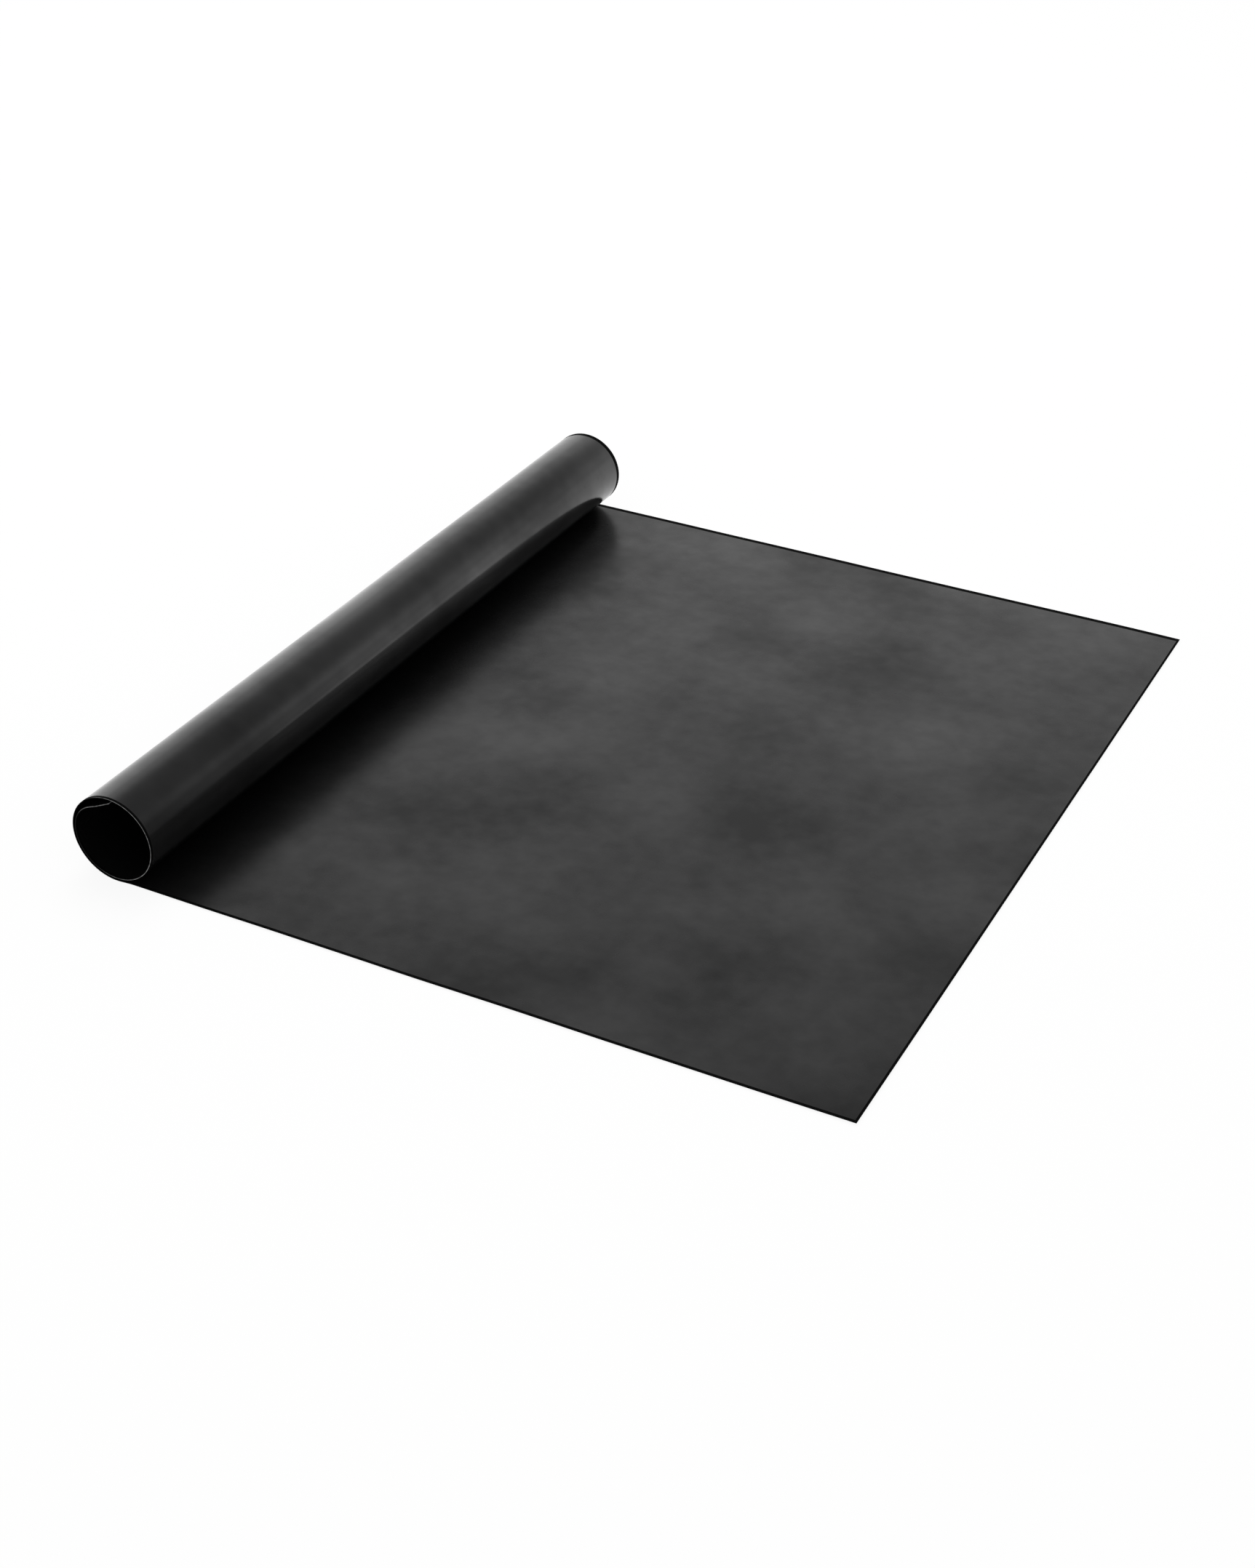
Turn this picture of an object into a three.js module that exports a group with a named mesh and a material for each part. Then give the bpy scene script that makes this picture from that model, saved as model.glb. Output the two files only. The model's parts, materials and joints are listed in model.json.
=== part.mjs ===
// A barbecue hotplate liner: one thin sheet of coated glass cloth, flat on the hotplate with one end rolled up.
// Lengths are in millimetres. +Z is up, +Y runs along the roll, and +X points from the roll to the free end.
// The sheet is divided at its bend lines. Each bend is a group that turns about its line, and the next stretch of
// sheet is nested in it, so that turning the bends by equal angles rolls or unrolls the sheet.
import * as THREE from "three";

// The sheet as it was cut
const SHEET_WIDTH = 330;
const SHEET_LENGTH = 410;
const THICKNESS = 0.25;

// The rolled end
const ROLL_RADIUS = 16.3; // of the underside, where the sheet leaves the hotplate
const TURN_PITCH = 0.9; // from one turn to the turn inside it
const ROLL_BENDS = 21;
const ROLL_BEND_ANGLE = THREE.MathUtils.degToRad(24.5);
const CURL_BENDS = 3; // the last bends curl away from the turn outside them
const CURL_STEP = 4; // by how much their radius is smaller
const TIP_LENGTH = 10; // the loose edge inside the roll stays straight

// The flat stretches
const LANDING_LENGTH = 7; // flat sheet between the roll and the cooking panel
const FREE_END_LENGTH = 132; // sheet that bends when it is peeled off the hotplate
const FREE_END_BENDS = 9;

const BEND_GAP = 0.02; // open slit along each bend line
const ARC_STEPS = 3; // pairs of facets along each arc

// Black satin coating
const COATING = { color: 0x232325, roughness: 0.45, metalness: 0 };

const halfGap = BEND_GAP / 2;
const freeStripLength = FREE_END_LENGTH / FREE_END_BENDS;

// Radius of the underside at a bend, counted from the hotplate. It shrinks evenly, by one pitch a turn, and then
// steps down for the last bends.
function radiusAtBend(bend) {
  const turns = (bend * ROLL_BEND_ANGLE) / (2 * Math.PI);
  const curl = bend > ROLL_BENDS - CURL_BENDS ? CURL_STEP : 0;
  return ROLL_RADIUS - TURN_PITCH * turns - curl;
}

// How far round its own arc the stretch after a bend goes. The first and the last stretch have half an arc.
function arcAngle(bend) {
  const isEnd = bend === 0 || bend === ROLL_BENDS;
  return isEnd ? ROLL_BEND_ANGLE / 2 : ROLL_BEND_ANGLE;
}

// Length of sheet taken up by all the arcs of the roll, measured along the underside.
function rolledLength() {
  let length = 0;
  for (let bend = 0; bend <= ROLL_BENDS; bend += 1) {
    length += radiusAtBend(bend) * arcAngle(bend);
  }
  return length;
}

// The point where an arc that leaves the origin towards -X has turned up by an angle.
function arcPoint(radius, angle) {
  return new THREE.Vector2(-radius * Math.sin(angle), radius * (1 - Math.cos(angle)));
}

// Section of a stretch of sheet: flat for lead, then along an arc, then straight for tail, with THICKNESS above it.
// The arc leaves the origin towards -X and turns up. It starts and stops at the two given angles.
function bentSection({ lead = 0, radius, startAngle = 0, endAngle, tail = 0 }) {
  const down = -Math.PI / 2;
  const forward = new THREE.Vector2(-Math.cos(endAngle), Math.sin(endAngle));
  const inward = new THREE.Vector2(Math.sin(endAngle), Math.cos(endAngle));
  const section = new THREE.Shape();
  if (lead > 0) {
    section.moveTo(lead, 0);
    section.lineTo(0, 0);
  }
  section.absarc(0, radius, radius, down - startAngle, down - endAngle, true);
  if (tail > 0) {
    const underside = arcPoint(radius, endAngle).addScaledVector(forward, tail);
    const topside = underside.clone().addScaledVector(inward, THICKNESS);
    section.lineTo(underside.x, underside.y);
    section.lineTo(topside.x, topside.y);
  }
  section.absarc(0, radius, radius - THICKNESS, down - endAngle, down - startAngle, false);
  if (lead > 0) {
    section.lineTo(lead, THICKNESS);
  }
  section.closePath();
  return section;
}

// A section in X and Z carried across the whole width of the sheet.
function acrossSheet(section) {
  const solid = new THREE.ExtrudeGeometry(section, {
    depth: SHEET_WIDTH,
    bevelEnabled: false,
    curveSegments: ARC_STEPS,
  });
  solid.rotateX(Math.PI / 2);
  solid.translate(0, SHEET_WIDTH / 2, 0);
  return solid;
}

// A flat stretch of sheet that starts at X = start.
function flatStretch(start, length) {
  const solid = new THREE.BoxGeometry(length, SHEET_WIDTH, THICKNESS);
  solid.translate(start + length / 2, 0, THICKNESS / 2);
  return solid;
}

function stretchOfSheet(name, geometry) {
  const stretch = new THREE.Mesh(geometry, new THREE.MeshStandardMaterial(COATING));
  stretch.name = name;
  return stretch;
}

function numbered(name, number) {
  return `${name}_${String(number).padStart(2, "0")}`;
}

// The foot of the roll: a short flat stretch that starts to turn up, as far as the first bend line.
function rollLanding() {
  const section = bentSection({
    lead: LANDING_LENGTH - halfGap,
    radius: radiusAtBend(0),
    endAngle: arcAngle(0) - halfGap / radiusAtBend(0),
  });
  return stretchOfSheet("roll_landing", acrossSheet(section));
}

// The stretch of the roll that follows a bend line. Its bend line is at its origin, on the underside.
function rollStrip(bend) {
  const radius = radiusAtBend(bend);
  const gapAngle = halfGap / radius;
  const isTip = bend === ROLL_BENDS;
  const section = bentSection({
    radius,
    startAngle: gapAngle,
    endAngle: arcAngle(bend) - (isTip ? 0 : gapAngle),
    tail: isTip ? TIP_LENGTH : 0,
  });
  const name = isTip ? "roll_tip" : numbered("roll_strip", bend);
  return stretchOfSheet(name, acrossSheet(section));
}

// The roll: each bend is placed at the end of the stretch before it and turned by that stretch's arc.
function addRoll(sheet) {
  let carrier = sheet;
  for (let bend = 1; bend <= ROLL_BENDS; bend += 1) {
    const before = bend - 1;
    const end = arcPoint(radiusAtBend(before), arcAngle(before));
    const hinge = new THREE.Group();
    hinge.name = numbered("roll_bend", bend);
    hinge.position.set(end.x, 0, end.y);
    hinge.rotation.y = arcAngle(before);
    hinge.add(rollStrip(bend));
    carrier.add(hinge);
    carrier = hinge;
  }
}

// The free end: each bend line lies on the top side, so that the strips can turn up and back over the sheet.
function addFreeEnd(sheet, start) {
  let carrier = sheet;
  for (let bend = 1; bend <= FREE_END_BENDS; bend += 1) {
    const isFirst = bend === 1;
    const isLast = bend === FREE_END_BENDS;
    const hinge = new THREE.Group();
    hinge.name = numbered("free_end_bend", bend);
    hinge.position.set(isFirst ? start : freeStripLength, 0, isFirst ? THICKNESS : 0);
    const strip = flatStretch(halfGap, freeStripLength - halfGap * (isLast ? 1 : 2));
    strip.translate(0, 0, -THICKNESS);
    hinge.add(stretchOfSheet(numbered("free_end", bend), strip));
    carrier.add(hinge);
    carrier = hinge;
  }
}

// The sheet leaves the hotplate at X = 0 while it is built.
const flatLength = SHEET_LENGTH - rolledLength() - TIP_LENGTH;
const freeEndStart = flatLength - FREE_END_LENGTH;

const sheet = new THREE.Group();
sheet.add(rollLanding());
const panel = flatStretch(LANDING_LENGTH + halfGap, freeEndStart - LANDING_LENGTH - BEND_GAP);
sheet.add(stretchOfSheet("cooking_panel", panel));
addRoll(sheet);
addFreeEnd(sheet, freeEndStart);

// The liner's own origin is on the hotplate, under the middle of its outline.
const middle = new THREE.Box3().setFromObject(sheet, true).getCenter(new THREE.Vector3());
sheet.position.x = -middle.x;

const liner = new THREE.Group();
liner.name = "hotplate_liner";
liner.add(sheet);

export default liner;
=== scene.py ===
# %% [markdown]
# # A barbecue hotplate liner
#
# The liner is one thin sheet of glass cloth with a black non-stick coating. It lies flat, with one end
# rolled up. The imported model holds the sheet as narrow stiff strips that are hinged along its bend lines.
# In this lesson we lay a smooth skin over those strips, give it the satin finish of the coating, and light
# it in a plain white studio. Lengths are in metres. +X points from the roll to the free end, +Y runs along
# the roll and +Z is up.

# %% Load the frame
import json
import math

import bpy
import numpy as np
from mathutils import Matrix, Vector


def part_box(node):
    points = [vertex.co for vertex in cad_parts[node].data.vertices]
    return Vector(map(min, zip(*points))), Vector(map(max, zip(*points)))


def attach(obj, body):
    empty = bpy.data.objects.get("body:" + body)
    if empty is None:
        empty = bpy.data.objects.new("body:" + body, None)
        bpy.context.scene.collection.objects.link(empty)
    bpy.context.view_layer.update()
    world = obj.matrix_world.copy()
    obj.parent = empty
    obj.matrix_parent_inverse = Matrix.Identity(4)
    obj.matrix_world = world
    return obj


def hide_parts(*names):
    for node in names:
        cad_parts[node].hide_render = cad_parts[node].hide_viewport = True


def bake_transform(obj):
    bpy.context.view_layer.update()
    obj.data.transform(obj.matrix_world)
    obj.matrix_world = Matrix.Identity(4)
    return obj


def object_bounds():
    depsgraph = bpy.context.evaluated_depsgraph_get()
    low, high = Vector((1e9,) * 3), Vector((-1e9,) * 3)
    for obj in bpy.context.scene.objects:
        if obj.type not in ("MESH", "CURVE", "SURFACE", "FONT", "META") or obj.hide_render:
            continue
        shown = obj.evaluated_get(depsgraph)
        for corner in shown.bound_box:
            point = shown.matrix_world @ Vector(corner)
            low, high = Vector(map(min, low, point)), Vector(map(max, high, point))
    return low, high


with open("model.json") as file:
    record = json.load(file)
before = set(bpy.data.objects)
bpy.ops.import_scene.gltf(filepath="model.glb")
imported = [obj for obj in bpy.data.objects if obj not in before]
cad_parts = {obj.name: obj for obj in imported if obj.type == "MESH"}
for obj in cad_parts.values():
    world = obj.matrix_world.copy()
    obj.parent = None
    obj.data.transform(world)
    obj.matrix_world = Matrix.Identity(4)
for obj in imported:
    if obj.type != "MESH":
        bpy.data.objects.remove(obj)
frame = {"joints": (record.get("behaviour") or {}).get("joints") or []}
cad_low, cad_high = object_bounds()

# %% [markdown]
# ## Camera
#
# The photograph looks down on the sheet from its front right corner, with a lens of medium length. A camera
# can be placed by eye, but a thin flat sheet shows every error of angle in the slope of its edges. So the
# place was worked out from the edges, the corners and the two mouths of the roll, and it is kept here as a
# few values: where the camera aims, from which direction, how far away it is and how much it leans.

# %% Camera
PHOTO_HEIGHT = 2156
FOCAL_PIXELS = 3275
CAMERA_AIM = Vector((-0.0028, -0.0317, 0.0))
CAMERA_AZIMUTH = math.radians(26.83)
CAMERA_ELEVATION = math.radians(32.11)
CAMERA_DISTANCE = 0.842
CAMERA_LEAN = math.radians(0.74)


def add_camera():
    """A camera that looks at CAMERA_AIM along the line given by its azimuth and elevation."""
    data = bpy.data.cameras.new("studio_camera")
    data.lens = FOCAL_PIXELS * data.sensor_width / PHOTO_HEIGHT
    away = Vector((math.sin(CAMERA_AZIMUTH), -math.cos(CAMERA_AZIMUTH), 0)) * math.cos(CAMERA_ELEVATION)
    away.z = math.sin(CAMERA_ELEVATION)
    level = Vector((math.cos(CAMERA_AZIMUTH), math.sin(CAMERA_AZIMUTH), 0))
    right = Matrix.Rotation(CAMERA_LEAN, 3, away) @ level
    turn = Matrix((right, away.cross(right), away)).transposed()
    camera = bpy.data.objects.new("studio_camera", data)
    camera.matrix_world = Matrix.Translation(CAMERA_AIM + away * CAMERA_DISTANCE) @ turn.to_4x4()
    bpy.context.scene.collection.objects.link(camera)
    return camera


bpy.context.scene.camera = add_camera()
print("camera: lens", round(bpy.context.scene.camera.data.lens, 1), "mm")

# %% [markdown]
# ## The sheet's own line
#
# Seen from its end, the whole sheet is one line: straight on the hotplate, then a spiral of arcs, then a
# short straight lip inside the roll. The bend lines of the frame lie on its underside. Two neighbours are a
# chord of one arc, and every arc turns by the range of the hinge, so the chord gives the arc's radius. That
# keeps the skin on the frame, whatever size the roll has.

# %% Bend lines
roll_bends = [joint for joint in frame["joints"] if joint["name"].startswith("unroll")]
peel_bends = [joint for joint in frame["joints"] if joint["name"].startswith("peel")]
panel_low, panel_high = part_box("cooking_panel")
THICKNESS = panel_high.z - panel_low.z
HALF_WIDTH = cad_high.y
FREE_EDGE_X = cad_high.x
BEND = math.radians(roll_bends[0]["range_deg"][1])
print("bend lines:", len(roll_bends), "in the roll and", len(peel_bends), "in the free end")

# %% Arcs of the roll
LIP_LENGTH = 0.010


def roll_arcs():
    """The arcs of the roll in order: their radii, angles and start points on the underside. The first arc
    turns by half a bend and rises by its radius times one less the cosine of that. A chord is twice the
    radius times the sine of half a bend. The last radius goes on shrinking by the step before it."""
    lines = np.array([joint["pos_m"] for joint in roll_bends])[:, [0, 2]]
    first = lines[0, 1] / (1 - math.cos(BEND / 2))
    chords = np.linalg.norm(np.diff(lines, axis=0), axis=1)
    middle = chords / (2 * math.sin(BEND / 2))
    last = 2 * middle[-1] - middle[-2]
    radii = np.concatenate([[first], middle, [last]])
    angles = np.full(len(radii), BEND)
    angles[[0, -1]] = BEND / 2
    take_off = [lines[0, 0] + first * math.sin(BEND / 2), 0.0]
    return radii, angles, np.vstack([take_off, lines])


arc_radii, arc_angles, arc_points = roll_arcs()
arc_headings = np.concatenate([[0], np.cumsum(arc_angles)])
arc_starts = np.concatenate([[0], np.cumsum(arc_radii * arc_angles)])
TAKE_OFF_X = arc_points[0, 0]
SHEET_START = TAKE_OFF_X - FREE_EDGE_X
SHEET_END = arc_starts[-1] + LIP_LENGTH
print("sheet:", round(2000 * HALF_WIDTH), "by", round(1000 * (SHEET_END - SHEET_START)), "mm")

# %% The line of the underside
LINE_SAMPLES = 500


def underside(along):
    """Place and heading of the sheet's underside at distances along it, counted from where it leaves the
    hotplate. On an arc the heading grows by distance over radius, and the point moves by the radius times
    the change of the heading's sine and cosine. Before the first arc and after the last the line is
    straight."""
    along = np.asarray(along, float)
    arc = np.clip(np.searchsorted(arc_starts, along, side="right") - 1, 0, len(arc_radii) - 1)
    on_arc = np.clip(along, 0, arc_starts[-1]) - arc_starts[arc]
    heading = arc_headings[arc] + on_arc / arc_radii[arc]
    x = arc_points[arc, 0] - arc_radii[arc] * (np.sin(heading) - np.sin(arc_headings[arc]))
    z = arc_points[arc, 1] + arc_radii[arc] * (np.cos(arc_headings[arc]) - np.cos(heading))
    straight = along - np.clip(along, 0, arc_starts[-1])
    return x - straight * np.cos(heading), z + straight * np.sin(heading), heading


_, line_z, line_heading = underside(np.linspace(SHEET_START, SHEET_END, LINE_SAMPLES))
line_turns = line_heading[-1] / (2 * math.pi)
print("roll:", round(1000 * line_z.max(), 1), "mm high,", round(line_turns, 2), "turns")

# %% [markdown]
# ## Slack in the cloth
#
# A real liner never lies quite flat: it has been rolled, and it rises from the hotplate in soft shallow
# waves. They are only a few tenths of a millimetre high, but they bend what a satin surface mirrors. A bump
# in the material could fake that. Here many sine waves lift the mesh itself, so the sheet is wavy edge on
# too. All the waves are equally steep, so long ones are high and short ones low. All skins read the same
# waves, so they meet without a step.
#
# The bend lines of the roll lie a little above the hotplate when the roll is opened, by the height of the
# first one. So the flat part is kept nearly that much higher, and it comes down only at the foot of the
# roll. The lip inside the roll is lifted for the same reason. Then the opened sheet is level from end to
# end.

# %% Waves of the sheet
WAVE_COUNT = 30
WAVE_LENGTHS = (0.03, 0.12)
WAVE_STEEPNESS = 0.0015
WAVE_SEED = 11
SAMPLES_ALONG = 240
SAMPLES_ACROSS = 200
wave_dice = np.random.default_rng(WAVE_SEED)
wave_length = wave_dice.uniform(*WAVE_LENGTHS, WAVE_COUNT)
wave_angle = wave_dice.uniform(0, math.pi, WAVE_COUNT)
wave_phase = wave_dice.uniform(0, 2 * math.pi, WAVE_COUNT)


def waves(along, across):
    """Sum of sine waves that run across the sheet in all directions. The height of each is the steepness
    that all share, times its length, divided by a full turn in radians."""
    turn = 2 * math.pi / wave_length
    steps = along[..., None] * np.cos(wave_angle) + across[..., None] * np.sin(wave_angle)
    return (np.sin(steps * turn + wave_phase) * WAVE_STEEPNESS / turn).sum(-1)


whole_length = np.linspace(SHEET_START, SHEET_END, SAMPLES_ALONG)
whole_width = np.linspace(-HALF_WIDTH, HALF_WIDTH, SAMPLES_ACROSS)
whole_waves = waves(*np.meshgrid(whole_length, whole_width))
LOWEST_WAVE = whole_waves.min()
print("waves:", round(1000 * LOWEST_WAVE, 2), "to", round(1000 * whole_waves.max(), 2), "mm")

# %% Lift of the flat and of the lip
ROLL_WAVE_SHARE = 0.3
WAVE_FADE = 0.05
BLEND_REACH = 0.9
FOOT_SPARE = 1.04
LIFT_SHARE = 0.985
FOOT_LENGTH = BLEND_REACH * arc_radii[0] * BEND * FOOT_SPARE
LIP_REACH = BLEND_REACH * arc_radii[-1] * BEND
FLAT_LIFT = LIFT_SHARE * arc_points[1, 1]
LIP_LIFT = LIFT_SHARE * arc_radii[-1] * (1 - math.cos(BEND / 2))


def smooth_rise(value, start, end):
    """0 before start and 1 after end. Between them it is 3 times the square of the way gone, less 2 times
    its cube."""
    share = np.clip((value - start) / (end - start), 0, 1)
    return share * share * (3 - 2 * share)


def slack(along, across):
    """Height of the sheet over its own line: the lift of the flat and of the lip, and the waves, of which
    the roll has a small share. That share of the lowest wave is taken off, so that no wave of the roll dips
    below the line."""
    flat = 1 - smooth_rise(along, -FOOT_LENGTH, 0)
    lip = smooth_rise(along, arc_starts[-1], arc_starts[-1] + LIP_REACH)
    share = 1 - (1 - ROLL_WAVE_SHARE) * smooth_rise(along, -WAVE_FADE, 0)
    base = FLAT_LIFT * flat + LIP_LIFT * lip - ROLL_WAVE_SHARE * LOWEST_WAVE
    return base + share * waves(along, across)


print("lift:", round(1000 * FLAT_LIFT, 2), "mm on the flat,", round(1000 * LIP_LIFT, 2), "mm at the lip")

# %% [markdown]
# ## Finishes
#
# The coating is near black, so almost all the grey that we see on the sheet is a soft mirror image of the
# white studio. That makes roughness the main value: too smooth and the sheet looks like glass, too rough
# and the dark image of the roll beside it is lost. The underside, which is the outside of the roll, gets
# more gloss than the cooking face. Cloudy patches make the gloss uneven, and the woven glass under the
# coating shows as a very low bump. Both are shader node groups, because more than one finish uses them. All
# finishes read the place on the flat cut, in metres, from a UV map of the skins.

# %% Woven glass
NUMBER, PLACE = "NodeSocketFloat", "NodeSocketVector"


def add_node(tree, kind, settings=None, **links):
    """A shader node with its sockets set to values or linked. A socket goes by its name, with an underscore
    for each space, or by the letter i and its number."""
    node = tree.nodes.new(kind)
    for key, value in (settings or {}).items():
        setattr(node, key, value)
    for key, value in links.items():
        is_number = key[0] == "i" and key[1:].isdigit()
        socket = node.inputs[int(key[1:]) if is_number else key.replace("_", " ")]
        if isinstance(value, bpy.types.NodeSocket):
            tree.links.new(value, socket)
        else:
            socket.default_value = value
    return node


def math_node(tree, operation, first, second=0.0):
    """The result of a maths node on one or two numbers."""
    return add_node(tree, "ShaderNodeMath", {"operation": operation}, i0=first, i1=second).outputs[0]


def new_group(name, inputs, outputs):
    """An empty shader node group with named inputs of the given kinds and named outputs that are numbers."""
    tree = bpy.data.node_groups.new(name, "ShaderNodeTree")
    for socket, kind in inputs.items():
        tree.interface.new_socket(socket, in_out="INPUT", socket_type=kind)
    for socket in outputs:
        tree.interface.new_socket(socket, in_out="OUTPUT", socket_type=NUMBER)
    return tree, tree.nodes.new("NodeGroupInput").outputs, tree.nodes.new("NodeGroupOutput").inputs


def weave_group():
    """Plain weave under a coating: the product of a sine across the warp and one across the weft, made
    positive, is a low pillow at each crossing of two threads."""
    inputs = {"Vector": PLACE, "Warp Pitch": NUMBER, "Weft Pitch": NUMBER}
    tree, given, out = new_group("woven_glass", inputs, ["Height"])
    place = add_node(tree, "ShaderNodeSeparateXYZ", Vector=given["Vector"]).outputs
    warp = math_node(tree, "DIVIDE", math_node(tree, "MULTIPLY", place["X"], math.pi), given["Warp Pitch"])
    weft = math_node(tree, "DIVIDE", math_node(tree, "MULTIPLY", place["Y"], math.pi), given["Weft Pitch"])
    crossing = math_node(tree, "MULTIPLY", math_node(tree, "SINE", warp), math_node(tree, "SINE", weft))
    tree.links.new(math_node(tree, "ABSOLUTE", crossing), out["Height"])
    return tree


WEAVE = weave_group()
print("woven glass:", len(WEAVE.nodes), "nodes")

# %% Cloudy gloss
FINER_CLOUDS = 9.0
NOISE_MIDDLE = 0.5


def cloud_group():
    """Soft patches from about 0 to 1: a broad noise, and a finer one that is added at a share of its
    strength after its middle has been taken off."""
    inputs = {"Vector": PLACE, "Patches per Metre": NUMBER, "Fine Share": NUMBER}
    tree, given, out = new_group("cloudy_gloss", inputs, ["Cloud"])
    place, scale = given["Vector"], given["Patches per Metre"]
    broad = add_node(tree, "ShaderNodeTexNoise", Vector=place, Scale=scale, Detail=4.0)
    finer = math_node(tree, "MULTIPLY", scale, FINER_CLOUDS)
    fine = add_node(tree, "ShaderNodeTexNoise", Vector=place, Scale=finer, Detail=3.0)
    centred = math_node(tree, "SUBTRACT", fine.outputs["Fac"], NOISE_MIDDLE)
    added = math_node(tree, "MULTIPLY", centred, given["Fine Share"])
    tree.links.new(math_node(tree, "ADD", broad.outputs["Fac"], added), out["Cloud"])
    return tree


CLOUDS = cloud_group()
print("cloudy gloss:", len(CLOUDS.nodes), "nodes")

# %% Coated faces
FLAT_CUT = "flat_cut"
WARP_PITCH = 0.00058
WEFT_PITCH = 0.0008
WEAVE_DEPTH = 0.000004
CLOUD_RANGE = (0.3, 0.7)
LAYER_RANGE = (0.32, 0.68)
THICKEST_LAYER = 0.58
THIN_BLACK = (0.0018, 0.0018, 0.0019)
THICK_BLACK = (0.0036, 0.0036, 0.0037)


def new_material(name):
    """A new material with its node tree and its main shader."""
    material = bpy.data.materials.new(name)
    material.use_nodes = True
    tree = material.node_tree
    return material, tree, tree.nodes["Principled BSDF"]


def place_on_cut(tree):
    """The place on the flat cut, from the UV map that every skin has."""
    return add_node(tree, "ShaderNodeUVMap", {"uv_map": FLAT_CUT}).outputs["UV"]


def group_node(tree, group, **links):
    """The outputs of a node group that is placed in a tree with its own values."""
    return add_node(tree, "ShaderNodeGroup", {"node_tree": group}, **links).outputs


def between(tree, value, low, high, to_low, to_high):
    """The value's place between low and high, carried over to the same place between two others."""
    return add_node(
        tree, "ShaderNodeMapRange", Value=value, From_Min=low, From_Max=high, To_Min=to_low, To_Max=to_high
    ).outputs[0]


def colour_ramp(tree, value, stops):
    """The colour that a value stands for, from pairs of a value and a colour or a grey level."""
    ramp = add_node(tree, "ShaderNodeValToRGB", Fac=value)
    elements = ramp.color_ramp.elements
    for number, (place, colour) in enumerate(stops):
        stop = elements[number] if number < len(elements) else elements.new(place)
        stop.position = place
        stop.color = (*colour, 1) if isinstance(colour, tuple) else (colour, colour, colour, 1)
    return ramp.outputs["Color"]


def coated_face(name, dull, bright, coat_roughness, ior):
    """Satin black coating: a thin clear layer that is thicker in some patches, and the weave as a low bump.
    Dull and bright are its roughness where the layer is thin and where it is thick."""
    material, tree, shader = new_material(name)
    place = place_on_cut(tree)
    cloud = group_node(tree, CLOUDS, Vector=place, Patches_per_Metre=15.0, Fine_Share=0.28)["Cloud"]
    black = colour_ramp(tree, cloud, [(CLOUD_RANGE[0], THIN_BLACK), (CLOUD_RANGE[1], THICK_BLACK)])
    tree.links.new(black, shader.inputs["Base Color"])
    tree.links.new(between(tree, cloud, *CLOUD_RANGE, dull, bright), shader.inputs["Roughness"])
    tree.links.new(between(tree, cloud, *LAYER_RANGE, 0.0, THICKEST_LAYER), shader.inputs["Coat Weight"])
    height = group_node(tree, WEAVE, Vector=place, Warp_Pitch=WARP_PITCH, Weft_Pitch=WEFT_PITCH)["Height"]
    bump = add_node(tree, "ShaderNodeBump", Height=height, Distance=WEAVE_DEPTH)
    tree.links.new(bump.outputs["Normal"], shader.inputs["Normal"])
    shader.inputs["IOR"].default_value = ior
    shader.inputs["Coat Roughness"].default_value = coat_roughness
    return material


cooking_coat = coated_face("coated_cooking_face", dull=0.30, bright=0.24, coat_roughness=0.30, ior=1.36)
underside_coat = coated_face("coated_underside", dull=0.19, bright=0.13, coat_roughness=0.15, ior=1.44)
print("coated faces:", cooking_coat.name, "and", underside_coat.name)

# %% [markdown]
# The cut edge and the strip beside it get finishes of their own. The cut is only as high as the cloth is
# thick, but in the mouth of the roll we look straight at it. In two stretches its coating is worn, and pale
# glass threads draw a thin light line. These are also the stretches where the edge catches the light, so the
# line is partly the threads' own colour and partly a painted highlight. The strip beside a cut is matt, so
# it mirrors little and draws a dark line round the sheet. One material with a mask could hold all of this,
# but faces of their own keep the line sharp.

# %% Cut edge
# Grey of the pale glass threads at the cut, which also serves as a painted highlight
PALE_THREADS_AND_HIGHLIGHT = [(0.35, 0.08), (0.65, 0.22)]
COVERED = (0.004, 0.004, 0.004, 1)
# Share of the way from the lip to where the sheet leaves the hotplate, and how much of the cut shows pale
# there: worn threads and a painted highlight in one
CUT_WEAR_AND_HIGHLIGHT = [
    (0.0, 1.0),
    (0.06, 1.0),
    (0.11, 0.0),
    (0.26, 0.0),
    (0.34, 1.0),
    (0.64, 1.0),
    (0.72, 0.0),
    (1.0, 0.0),
]


def cut_edge():
    """The cut side of the cloth. Coating covers most of it, and pale glass threads show where it is worn: at
    the lip, and where the first turn of the roll comes down to the sheet. These stretches are also where the
    edge catches the light, so their pale is partly the threads' own colour and partly a painted highlight."""
    material, tree, shader = new_material("cut_edge")
    place = place_on_cut(tree)
    threads = group_node(tree, CLOUDS, Vector=place, Patches_per_Metre=900.0, Fine_Share=0.2)["Cloud"]
    pale = colour_ramp(tree, threads, PALE_THREADS_AND_HIGHLIGHT)
    from_lip = add_node(tree, "ShaderNodeSeparateXYZ", Vector=place).outputs["X"]
    # Pale where the cut is worn, which is also where a painted highlight lies on the edge
    worn_and_highlit = colour_ramp(tree, math_node(tree, "DIVIDE", from_lip, SHEET_END), CUT_WEAR_AND_HIGHLIGHT)
    colour = add_node(tree, "ShaderNodeMix", {"data_type": "RGBA"}, i0=worn_and_highlit, i6=COVERED, i7=pale)
    tree.links.new(colour.outputs[2], shader.inputs["Base Color"])
    shader.inputs["Roughness"].default_value = 0.7
    shader.inputs["Specular IOR Level"].default_value = 0.1
    return material


worn_and_highlit_cut = cut_edge()
print("cut edge:", len(worn_and_highlit_cut.node_tree.nodes), "nodes")

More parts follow.
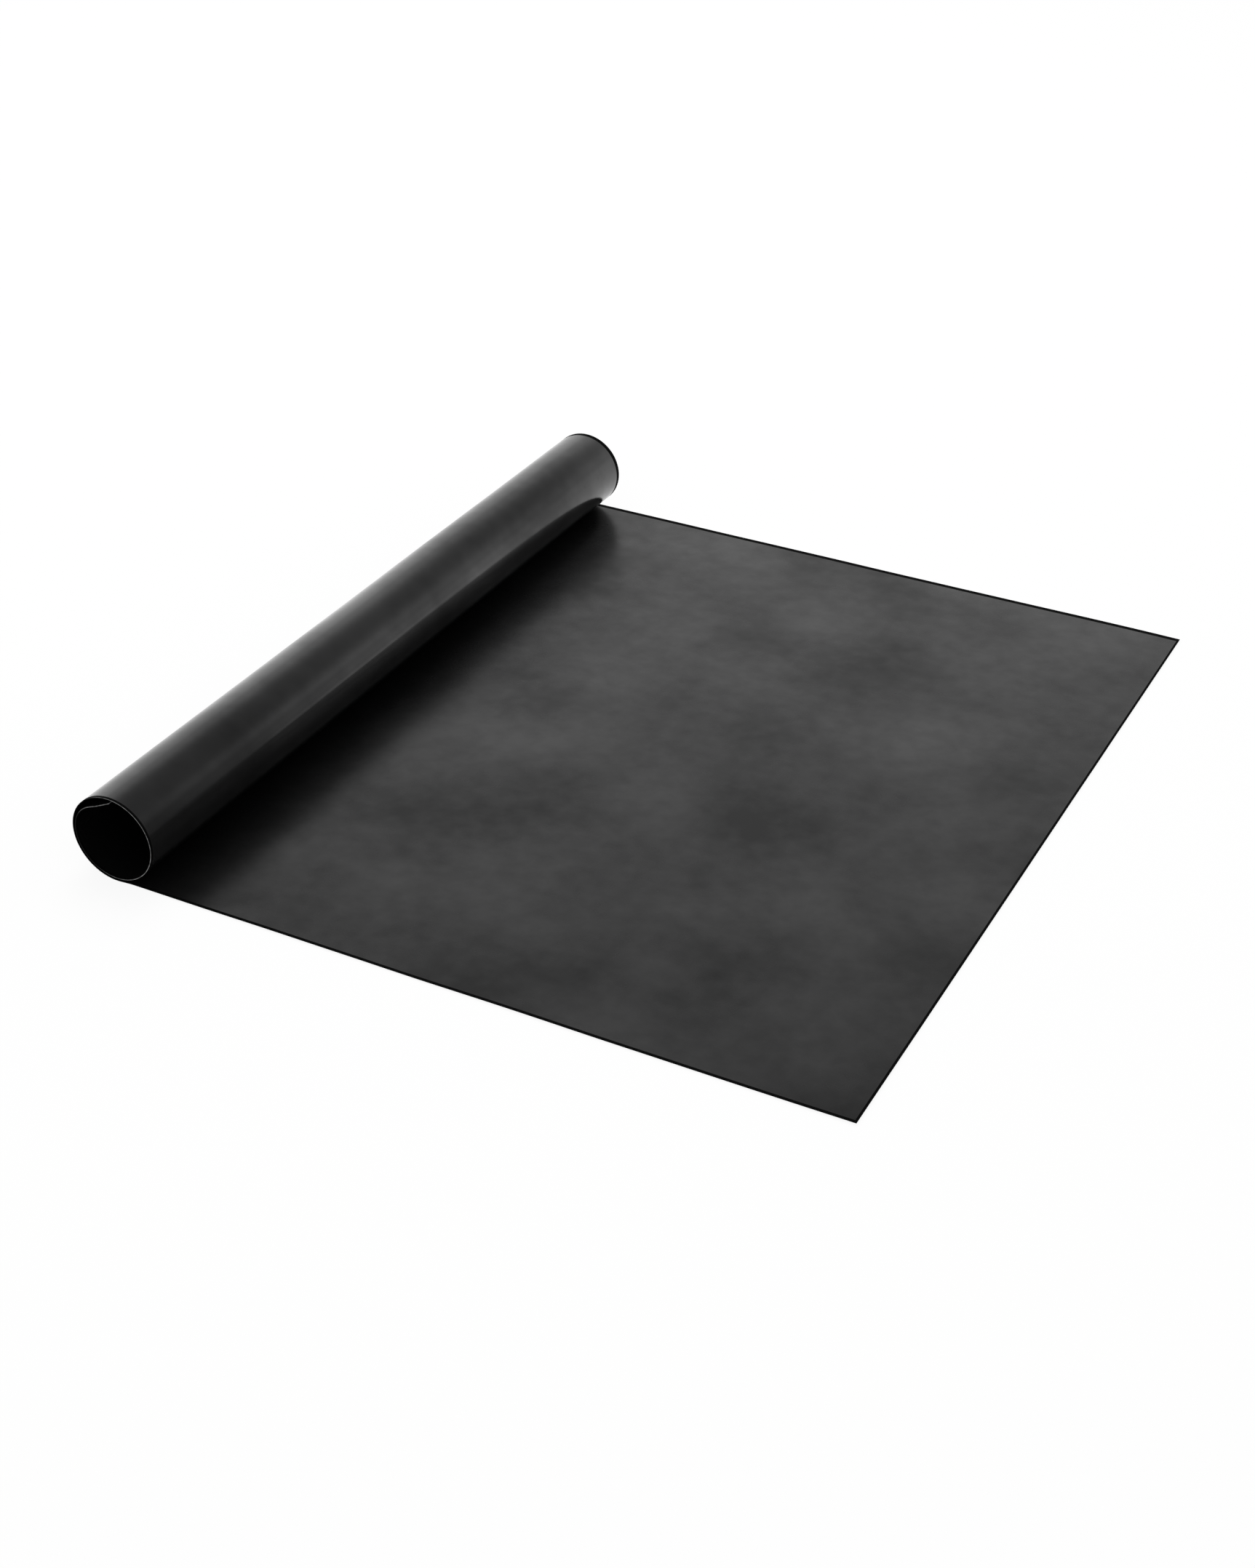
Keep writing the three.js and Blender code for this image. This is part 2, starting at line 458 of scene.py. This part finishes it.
# %% Dark rim
RIM_BLACKS = [(0.0, 0.0006), (1.0, 0.002)]


def dark_rim():
    """The strip of coating beside a cut, matt and blacker than the rest."""
    material, tree, shader = new_material("dark_rim")
    place = place_on_cut(tree)
    cloud = group_node(tree, CLOUDS, Vector=place, Patches_per_Metre=200.0, Fine_Share=0.3)["Cloud"]
    tree.links.new(colour_ramp(tree, cloud, RIM_BLACKS), shader.inputs["Base Color"])
    shader.inputs["Roughness"].default_value = 0.75
    shader.inputs["Specular IOR Level"].default_value = 0.05
    return material


FINISHES = [cooking_coat, underside_coat, worn_and_highlit_cut, dark_rim()]
COOKING_FACE, UNDERSIDE, CUT, RIM = range(len(FINISHES))
print("finishes:", [material.name for material in FINISHES])

# %% [markdown]
# ## One skin
#
# A skin is a stretch of the sheet as a closed thin mesh: a grid on the underside, the same grid on the top,
# and a rim round both. Solidify could thicken a single grid, but with both grids at hand the rim can say
# which of its sides is a real cut and which only meets the next skin. The UV map holds the place on the
# flat cut in metres, so that the finish runs on from skin to skin.

# %% Columns across the sheet
COLUMN_STEP = 0.003
FRONT_BORDER = 0.001
BACK_BORDER = 0.0021
FIELD_SIDES = (-HALF_WIDTH + FRONT_BORDER, HALF_WIDTH - BACK_BORDER)
inner_columns = np.linspace(*FIELD_SIDES, round(2 * HALF_WIDTH / COLUMN_STEP))
COLUMNS = np.concatenate([[-HALF_WIDTH], inner_columns, [HALF_WIDTH]])
print("columns:", len(COLUMNS), "across", round(2000 * HALF_WIDTH), "mm")

# %% Faces of a skin
def quads(index, flip):
    """Four-cornered faces over a grid of vertex numbers. Flip turns them to face the other way."""
    corners = [index[:-1, :-1], index[1:, :-1], index[1:, 1:], index[:-1, 1:]]
    faces = np.stack(corners[::-1] if flip else corners, -1)
    return faces.reshape(-1, 4)


def skin_faces(rows, columns):
    """Faces of a skin in six groups: underside, top, the two long cuts, and the two ends."""
    under = np.arange(rows * columns).reshape(rows, columns)
    over = under + under.size
    front = np.stack([under[:, 0], over[:, 0]], 1)
    back = np.stack([under[:, -1], over[:, -1]], 1)
    start = np.stack([under[0], over[0]])
    end = np.stack([under[-1], over[-1]])
    return [
        quads(under, False),
        quads(over, True),
        quads(front, True),
        quads(back, False),
        quads(start, True),
        quads(end, False),
    ]


print("faces in a skin of two rows:", [len(group) for group in skin_faces(2, len(COLUMNS))])

# %% Finish of each face
END_BORDER = 0.0008


def face_finish(along, field):
    """Which finish each quad of the top or the underside has: that of its field, or the rim beside a cut."""
    middle = (along[:-1] + along[1:]) / 2
    near_end = (middle < SHEET_START + END_BORDER) | (middle > SHEET_END - END_BORDER)
    column = (COLUMNS[:-1] + COLUMNS[1:]) / 2
    near_side = (column < FIELD_SIDES[0]) | (column > FIELD_SIDES[1])
    return np.where(near_end[:, None] | near_side[None, :], RIM, field).ravel()


def skin_finish(along, groups):
    """The finish of all the faces of a skin, group by group. An end is a cut only where the sheet ends."""
    start = CUT if np.isclose(along[0], SHEET_START) else COOKING_FACE
    end = CUT if np.isclose(along[-1], SHEET_END) else COOKING_FACE
    sides = [np.full(len(group), kind) for group, kind in zip(groups[2:], (CUT, CUT, start, end))]
    return np.concatenate([face_finish(along, UNDERSIDE), face_finish(along, COOKING_FACE), *sides])


one_row = face_finish(np.array([SHEET_START, 0.0]), COOKING_FACE)
print("rim:", np.count_nonzero(one_row == RIM), "of", len(one_row), "quads in a row")

# %% Skin mesh
SHARP_EDGE = math.radians(40)


def sheet_sides(along, across):
    """Underside and top of the sheet on a grid of distances along and across it, as two arrays of points.
    The underside is the sheet's own line, moved by the slack towards the cooking face, and the top lies one
    thickness further that way."""
    x, z, heading = underside(along)
    lift = slack(along, across)
    inward_x, inward_z = np.sin(heading), np.cos(heading)
    under = np.stack([x + lift * inward_x, across, z + lift * inward_z], -1)
    over = under + THICKNESS * np.stack([inward_x, np.zeros_like(x), inward_z], -1)
    return under, over


def make_skin(name, along):
    """A closed skin of the sheet over the given distances along it, which rise towards the lip."""
    grid_along, grid_across = np.meshgrid(along, COLUMNS, indexing="ij")
    under, over = sheet_sides(grid_along, grid_across)
    points = np.concatenate([under.reshape(-1, 3), over.reshape(-1, 3)])
    groups = skin_faces(*grid_along.shape)
    faces = np.concatenate(groups)
    mesh = bpy.data.meshes.new(name)
    mesh.from_pydata(points.tolist(), [], faces.tolist())
    mesh.polygons.foreach_set("material_index", skin_finish(along, groups).astype(np.int32))
    mesh.polygons.foreach_set("use_smooth", np.ones(len(faces), bool))
    place = np.stack([SHEET_END - grid_along, grid_across], -1).reshape(-1, 2)
    place = np.concatenate([place, place])
    flat_cut = mesh.uv_layers.new(name=FLAT_CUT)
    flat_cut.data.foreach_set("uv", place[faces.ravel()].astype(np.float32).ravel())
    mesh.set_sharp_from_angle(angle=SHARP_EDGE)
    skin = bpy.data.objects.new(name, mesh)
    bpy.context.scene.collection.objects.link(skin)
    for material in FINISHES:
        mesh.materials.append(material)
    return skin


free_edge = sheet_sides(np.full(len(COLUMNS), SHEET_START), COLUMNS)[0][:, 2]
print("free edge:", round(1000 * free_edge.min(), 2), "to", round(1000 * free_edge.max(), 2), "mm high")

# %% [markdown]
# ## Skins over the hinges
#
# A skin that crosses a hinge is made as one fixed mesh where the sheet lies now, and the strip that the
# hinge carries is hidden. Its seams lie at the middles of the two strips that the hinge joins. The first
# skin of the roll starts early, over a foot a little longer than 0.9 of a strip, and the last one ends late,
# over the lip.
# Where the free end leaves the hotplate, its first skin runs on a little way towards the flat.


def add_bending_skin(name, along, bend):
    """A skin over the hinge of a bend. Its seams are the middles of the two strips that the hinge joins.
    It stays where it is made, and the strip that the hinge carries is hidden."""
    skin = make_skin(name, along)
    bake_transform(skin)
    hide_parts(bend["child"])
    return skin


# %% [markdown]
# ## The roll
#
# Each skin of the roll turns through one bend, from the middle of one strip to the middle of the next. The
# first one also covers the foot of the roll, and the last one the straight lip inside it.

# %% Roll skins
ROWS_PER_ARC = 28
FOOT_ROWS = 12
LIP_ROWS = 13
arc_middles = np.concatenate([[0], (arc_starts[1:-2] + arc_starts[2:-1]) / 2, [arc_starts[-1]]])


def roll_rows(number):
    """Distances along the sheet of the rows of one skin of the roll."""
    rows = np.linspace(arc_middles[number - 1], arc_middles[number], ROWS_PER_ARC + 1)
    if number == 1:
        rows = np.concatenate([np.linspace(-FOOT_LENGTH, 0, FOOT_ROWS, endpoint=False), rows])
    if number == len(roll_bends):
        lip = np.linspace(arc_starts[-1], SHEET_END - END_BORDER, LIP_ROWS + 1)[1:]
        rows = np.concatenate([rows, lip, [SHEET_END]])
    return rows


for number, bend in enumerate(roll_bends, 1):
    add_bending_skin(f"roll_skin_{number:02d}", roll_rows(number), bend)

# %% [markdown]
# ## The flat sheet and the free end
#
# The flat part between the roll and the free end never bends, so it is one large skin that rides on the
# sheet's own body. The free end is again a row of skins, one over each hinge that peels it off the hotplate.

# %% Free end
ROWS_PER_STRIP = 12
FADE_ROWS = 11
TAIL_ROWS = 8
PEEL_EARLY = 0.18
FADE_SPARE = 1.1
peel_lines = TAKE_OFF_X - np.array([joint["pos_m"][0] for joint in peel_bends])
strip_length = peel_lines[0] - peel_lines[1]
free_seams = np.concatenate([peel_lines + strip_length / 2, [peel_lines[-1] - strip_length / 2]])


def free_rows(number):
    """Distances along the sheet of the rows of one skin of the free end."""
    start, end = free_seams[number], free_seams[number - 1]
    rows = np.linspace(start, end, ROWS_PER_STRIP + 1)
    if number == 1:
        faded = end + strip_length * PEEL_EARLY * FADE_SPARE
        rows = np.concatenate([rows, np.linspace(end, faded, FADE_ROWS + 1)[1:]])
    if number == len(peel_bends):
        tail = np.linspace(SHEET_START + END_BORDER, start, TAIL_ROWS, endpoint=False)
        rows = np.concatenate([[SHEET_START], tail, rows])
    return rows


for number, bend in enumerate(peel_bends, 1):
    add_bending_skin(f"free_skin_{number:02d}", free_rows(number), bend)

# %% Panel
PANEL_STEP = 0.0025
panel_start = free_rows(1)[-1]
panel_length = -FOOT_LENGTH - panel_start
panel_rows = np.linspace(panel_start, -FOOT_LENGTH, round(panel_length / PANEL_STEP) + 1)
panel_skin = make_skin("panel_skin", panel_rows)
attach(panel_skin, "flat_sheet")
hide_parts("cooking_panel", "roll_landing")
print("panel:", round(1000 * panel_length), "mm long,", len(panel_rows), "rows")

# %% [markdown]
# ## Studio
#
# The photograph has a pure white ground and soft light from all round. What the sheet mirrors matters most.
# A world that is white all over would make the flat one even grey. So the backdrop is white near the
# horizon, dims in steps to a grey ceiling and leans a little, and the flat falls from a paler grey at the
# back to a darker one at the front. On one side the white paper ends, which darkens the near end of the
# roll. The camera itself sees plain white all round. The floor is white too, and it takes the shadow of
# the sheet.

# %% Where the paper ends
DIM_SIDE = math.radians(100)
DIM_FROM, DIM_TO = math.radians(60), math.radians(50)
DIM_LEVEL = 0.1


def vector_node(tree, operation, first, second=(0, 0, 0)):
    """The outputs of a maths node on one or two vectors: a vector and a value."""
    return add_node(tree, "ShaderNodeVectorMath", {"operation": operation}, i0=first, i1=second).outputs


def paper_group():
    """How much of the paper's white is left in a direction: all of it, and less towards the side where it
    ends. The product of two unit bearings is the cosine of the angle between them."""
    tree, given, out = new_group("paper_end", {"Vector": PLACE}, ["Share"])
    level = vector_node(tree, "MULTIPLY", given["Vector"], (1, 1, 0))["Vector"]
    bearing = vector_node(tree, "NORMALIZE", level)["Vector"]
    side = (math.sin(DIM_SIDE), math.cos(DIM_SIDE), 0)
    near = vector_node(tree, "DOT_PRODUCT", bearing, side)["Value"]
    share = between(tree, near, math.cos(DIM_FROM), math.cos(DIM_TO), 1.0, DIM_LEVEL)
    tree.links.new(share, out["Share"])
    return tree


PAPER_END = paper_group()
print("paper: dim within", round(math.degrees(DIM_TO)), "degrees of bearing", round(math.degrees(DIM_SIDE)))

# %% Floor
FLOOR_HALF = 5.0
FLOOR_DROP = 0.0001
SHADOW_SHARE = 0.1


def seen_rays(tree):
    """1 for rays from the camera, and for those that a glossy or clear surface sends on."""
    rays = tree.nodes.new("ShaderNodeLightPath").outputs
    seen = math_node(tree, "MAXIMUM", rays["Is Camera Ray"], rays["Is Glossy Ray"])
    return math_node(tree, "MAXIMUM", seen, rays["Is Transmission Ray"])


def floor_paint():
    """White paint: plain for the light that it throws back, and mostly self-lit where it is looked at."""
    material, tree, shader = new_material("floor_paint")
    shader.inputs["Base Color"].default_value = (0.9, 0.9, 0.9, 1)
    shader.inputs["Roughness"].default_value = 0.9
    shader.inputs["Specular IOR Level"].default_value = 0.0
    place = tree.nodes.new("ShaderNodeTexCoord").outputs["Object"]
    paper = group_node(tree, PAPER_END, Vector=place)["Share"]
    looked_at = tree.nodes.new("ShaderNodeLightPath").outputs["Is Camera Ray"]
    level = math_node(tree, "MAXIMUM", paper, looked_at)
    glow = add_node(tree, "ShaderNodeEmission", Color=level, Strength=1.0)
    share = math_node(tree, "MULTIPLY", seen_rays(tree), 1 - SHADOW_SHARE)
    mix = add_node(tree, "ShaderNodeMixShader", Fac=share, i1=shader.outputs[0], i2=glow.outputs[0])
    tree.links.new(mix.outputs[0], tree.nodes["Material Output"].inputs["Surface"])
    return material


def add_floor():
    """A square of white floor just under the sheet."""
    mesh = bpy.data.meshes.new("studio_floor")
    corners = [(x, y, -FLOOR_DROP) for x, y in ((-1, -1), (1, -1), (1, 1), (-1, 1))]
    mesh.from_pydata([(x * FLOOR_HALF, y * FLOOR_HALF, z) for x, y, z in corners], [], [(0, 1, 2, 3)])
    floor = bpy.data.objects.new("studio_floor", mesh)
    bpy.context.scene.collection.objects.link(floor)
    mesh.materials.append(floor_paint())


add_floor()
print("floor:", 2 * FLOOR_HALF, "m square,", 1000 * FLOOR_DROP, "mm below the frame's zero")

# %% Backdrop
BACKDROP_LEAN = math.radians(12)
ROOM_LIGHT = 0.75
# Height along the leaning axis, from 0 at the middle to 1 at the top, and how white the backdrop is there
BACKDROP = [
    (0.0, 1.0),
    (0.28, 1.0),
    (0.37, 0.78),
    (0.46, 0.79),
    (0.51, 0.72),
    (0.58, 0.53),
    (0.66, 0.34),
    (1.0, 0.22),
]


def add_backdrop():
    """A world that reflections see white from the horizon up to a fair height, then dimming to a grey
    ceiling, and dim where the paper ends. Height is the product of a direction and an axis that leans from
    straight up. The camera sees plain white, and diffuse light comes from an even room."""
    world = bpy.data.worlds.new("studio")
    world.use_nodes = True
    bpy.context.scene.world = world
    tree = world.node_tree
    tree.nodes.clear()
    direction = tree.nodes.new("ShaderNodeTexCoord").outputs["Generated"]
    axis = (math.sin(BACKDROP_LEAN), 0, math.cos(BACKDROP_LEAN))
    height = vector_node(tree, "DOT_PRODUCT", direction, axis)["Value"]
    paper = group_node(tree, PAPER_END, Vector=direction)["Share"]
    mirrored = math_node(tree, "MULTIPLY", colour_ramp(tree, height, BACKDROP), paper)
    looked_at = tree.nodes.new("ShaderNodeLightPath").outputs["Is Camera Ray"]
    level = math_node(tree, "MAXIMUM", mirrored, looked_at)
    backdrop = add_node(tree, "ShaderNodeBackground", Color=level, Strength=1.0)
    room = add_node(tree, "ShaderNodeBackground", Color=(1, 1, 1, 1), Strength=ROOM_LIGHT)
    seen = seen_rays(tree)
    mix = add_node(tree, "ShaderNodeMixShader", Fac=seen, i1=room.outputs[0], i2=backdrop.outputs[0])
    out = tree.nodes.new("ShaderNodeOutputWorld")
    tree.links.new(mix.outputs[0], out.inputs["Surface"])


add_backdrop()
print("backdrop:", len(BACKDROP), "levels, room light", ROOM_LIGHT)

# %% Softbox
SOFTBOX_PLACE = Vector((-0.5, 0.6, 1.6))
SOFTBOX_SIZE = 1.2
SOFTBOX_WATTS = 14


def add_softbox():
    """A square soft lamp that faces the middle of the sheet and doesn't show in reflections."""
    data = bpy.data.lights.new("overhead_softbox", "AREA")
    data.size = SOFTBOX_SIZE
    data.energy = SOFTBOX_WATTS
    lamp = bpy.data.objects.new("overhead_softbox", data)
    lamp.location = SOFTBOX_PLACE
    lamp.rotation_mode = "QUATERNION"
    lamp.rotation_quaternion = (-SOFTBOX_PLACE).to_track_quat("-Z", "Y")
    lamp.visible_glossy = False
    bpy.context.scene.collection.objects.link(lamp)


add_softbox()
bpy.context.scene.view_settings.view_transform = "Standard"
print("softbox:", round(SOFTBOX_PLACE.length, 2), "m from the middle of the sheet")
